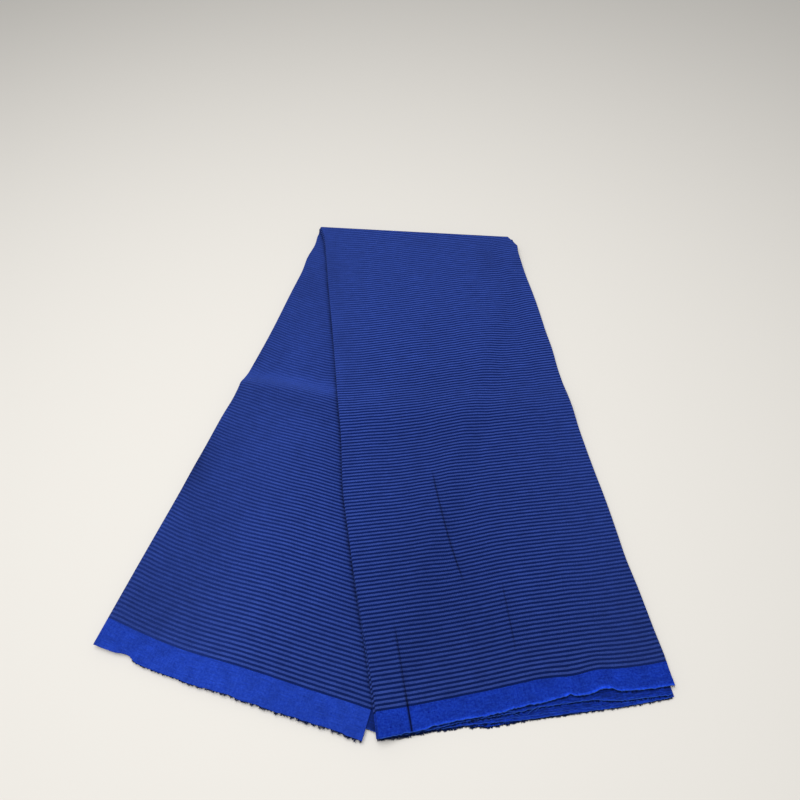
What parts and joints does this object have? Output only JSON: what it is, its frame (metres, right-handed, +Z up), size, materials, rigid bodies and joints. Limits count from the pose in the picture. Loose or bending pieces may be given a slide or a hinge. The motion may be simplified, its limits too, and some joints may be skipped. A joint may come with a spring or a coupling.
{
  "type": "folded striped handwoven cloth",
  "caption": "Length of handwoven cloth with fine cross stripes and plain end bands, folded lengthwise in layers and once across on a slant into a narrow open V.",
  "frame": {"origin": "centre of the cloth's box on the surface that it lies on", "axes": "+Z up; +Y from the two raw ends towards the slanting crease that joins the legs; +X to the right, towards the leg that lies on top"},
  "size_m": [0.7616, 0.9298, 0.026],
  "materials": {
    "cloth": "matt ribbed cotton weave, royal blue with near-black weft stripes and plain blue end bands"
  },
  "bodies": {
    "root": {"cloth": "cloth"}
  },
  "joints": []
}
